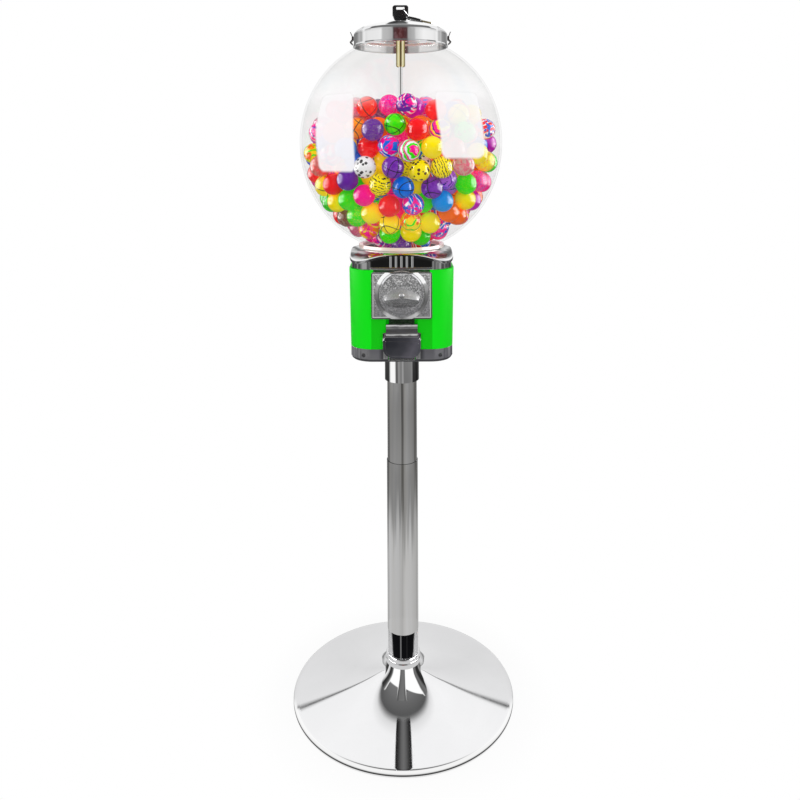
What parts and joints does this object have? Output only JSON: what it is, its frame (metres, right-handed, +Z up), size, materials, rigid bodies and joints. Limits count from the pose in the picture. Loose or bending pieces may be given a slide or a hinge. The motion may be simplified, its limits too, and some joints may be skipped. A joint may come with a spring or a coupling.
{
  "type": "ball vending machine",
  "caption": "Free-standing coin-operated vendor: clear globe of bouncing balls on a square head with coin handle and door, on a pole with a wide trumpet-shaped base.",
  "frame": {"origin": "centre of the base's bottom face, on the floor", "axes": "+Z up along the pole, the coin handle and the door face -Y, +X to the right of someone who looks along +Y at the handle"},
  "size_m": [0.332, 0.332, 1.0475],
  "materials": {
    "base_chrome": "polished, faint circular spinning marks",
    "pole_chrome": "polished tube with fine lengthwise marks",
    "cast_chrome": "chrome over die casting, slightly wavy",
    "lid_chrome": "polished spun sheet",
    "door_chrome": "dark chrome, polished",
    "sleeve_black": "gloss black",
    "foot_rubber": "matte black",
    "gasket_vinyl": "milky translucent vinyl",
    "ballast_iron": "rough cast, painted black",
    "zinc_steel": "zinc plated",
    "green_paint": "gloss lime green powder coat",
    "grey_die_cast": "plain die casting",
    "bush_brass": "turned",
    "wheel_plastic": "moulded white",
    "agitator_plastic": "moulded red",
    "mech_zinc": "stippled bare zinc casting, buffed on its high spots",
    "handle_zinc": "buffed zinc casting",
    "clear_globe": "clear polycarbonate, glossy",
    "lock_brass": "polished",
    "key_brass": "nickel-tinted brass",
    "key_plastic": "moulded black",
    "ball_rubber": "bright dyed bouncing balls in plain colours",
    "ball_pattern": "bouncing balls with swirls, speckles, stripes, glitter or clear gel"
  },
  "bodies": {
    "stand": {"base_dish": "base_chrome", "base_foot_ring": "foot_rubber", "base_weight": "ballast_iron", "tie_rod": "zinc_steel", "tie_rod_nuts": "zinc_steel", "tie_rod_washers": "zinc_steel", "pole_collar": "pole_chrome", "pole_sleeve": "sleeve_black", "pole_lower": "pole_chrome", "pole_coupler": "zinc_steel", "pole_upper": "pole_chrome", "pole_ferrule": "pole_chrome", "body_tray": "cast_chrome", "body_shell": "green_paint", "top_collar": "cast_chrome", "body_bolts": "zinc_steel", "tray_screws": "zinc_steel", "hopper_base": "grey_die_cast", "ball_retainer": "zinc_steel", "wheel_bush": "bush_brass", "chute_duct": "grey_die_cast", "chute_hood": "cast_chrome", "door_pin": "zinc_steel", "mech_front_plate": "mech_zinc", "mech_back_plate": "zinc_steel", "mech_bush": "bush_brass", "mech_spacers": "zinc_steel", "mech_screws": "zinc_steel", "pawl_pin": "zinc_steel", "pawl_spring": "zinc_steel", "globe": "clear_globe", "globe_gasket": "gasket_vinyl", "center_rod": "zinc_steel", "rod_nuts": "zinc_steel", "toy_balls": "ball_rubber", "patterned_balls": "ball_pattern"},
    "wheel": {"dispensing_wheel": "wheel_plastic", "wheel_agitator": "agitator_plastic", "balls_in_wheel": "ball_rubber"},
    "knob": {"coin_dial": "mech_zinc", "coin_handle": "handle_zinc", "handle_screw": "zinc_steel", "coin_disc": "zinc_steel", "ratchet_plate": "zinc_steel", "mech_shaft": "zinc_steel", "mech_pinion": "bush_brass", "pinion_clip": "zinc_steel"},
    "pawl": {"ratchet_pawl": "zinc_steel"},
    "door": {"chute_door": "door_chrome"},
    "lid_set": {"lid": "lid_chrome", "lid_gasket": "gasket_vinyl", "lid_clips": "lid_chrome", "lock_barrel": "lid_chrome", "lock_sleeve": "lock_brass"},
    "lock": {"lock_plug": "zinc_steel"},
    "key": {"key_blade": "key_brass", "key_head": "key_plastic", "key_ring": "zinc_steel", "spare_key_head": "key_plastic", "spare_key_blade": "key_brass"}
  },
  "joints": [
    {"name": "wheel_spin", "type": "hinge", "parent": "stand", "child": "wheel", "pos_m": [0, 0, 0.65], "axis": [0, 0, 1], "continuous": true},
    {"name": "handle_turn", "type": "hinge", "parent": "stand", "child": "knob", "pos_m": [0, -0.0798, 0.621], "axis": [0, 1, 0], "continuous": true},
    {"name": "pawl_lift", "type": "hinge", "parent": "stand", "child": "pawl", "pos_m": [0.027, -0.0729, 0.607], "axis": [0, -1, 0], "range_deg": [-10, 0], "stiffness_Nm_per_rad": 0.02},
    {"name": "door_swing", "type": "hinge", "parent": "stand", "child": "door", "pos_m": [0, -0.0816, 0.5604], "axis": [-1, 0, 0], "range_deg": [0, 75]},
    {"name": "lid_lift", "type": "slide", "parent": "stand", "child": "lid_set", "axis": [0, 0, 1], "range_m": [0, 0.1]},
    {"name": "lock_turn", "type": "hinge", "parent": "lid_set", "child": "lock", "pos_m": [0, 0, 1.012], "axis": [0, 0, 1], "range_deg": [0, 90]},
    {"name": "key_pull", "type": "slide", "parent": "lock", "child": "key", "axis": [0, 0, 1], "range_m": [0, 0.03]}
  ],
  "couplings": [
    {"joint": "handle_turn", "follows": "wheel_spin", "ratio": 5}
  ]
}
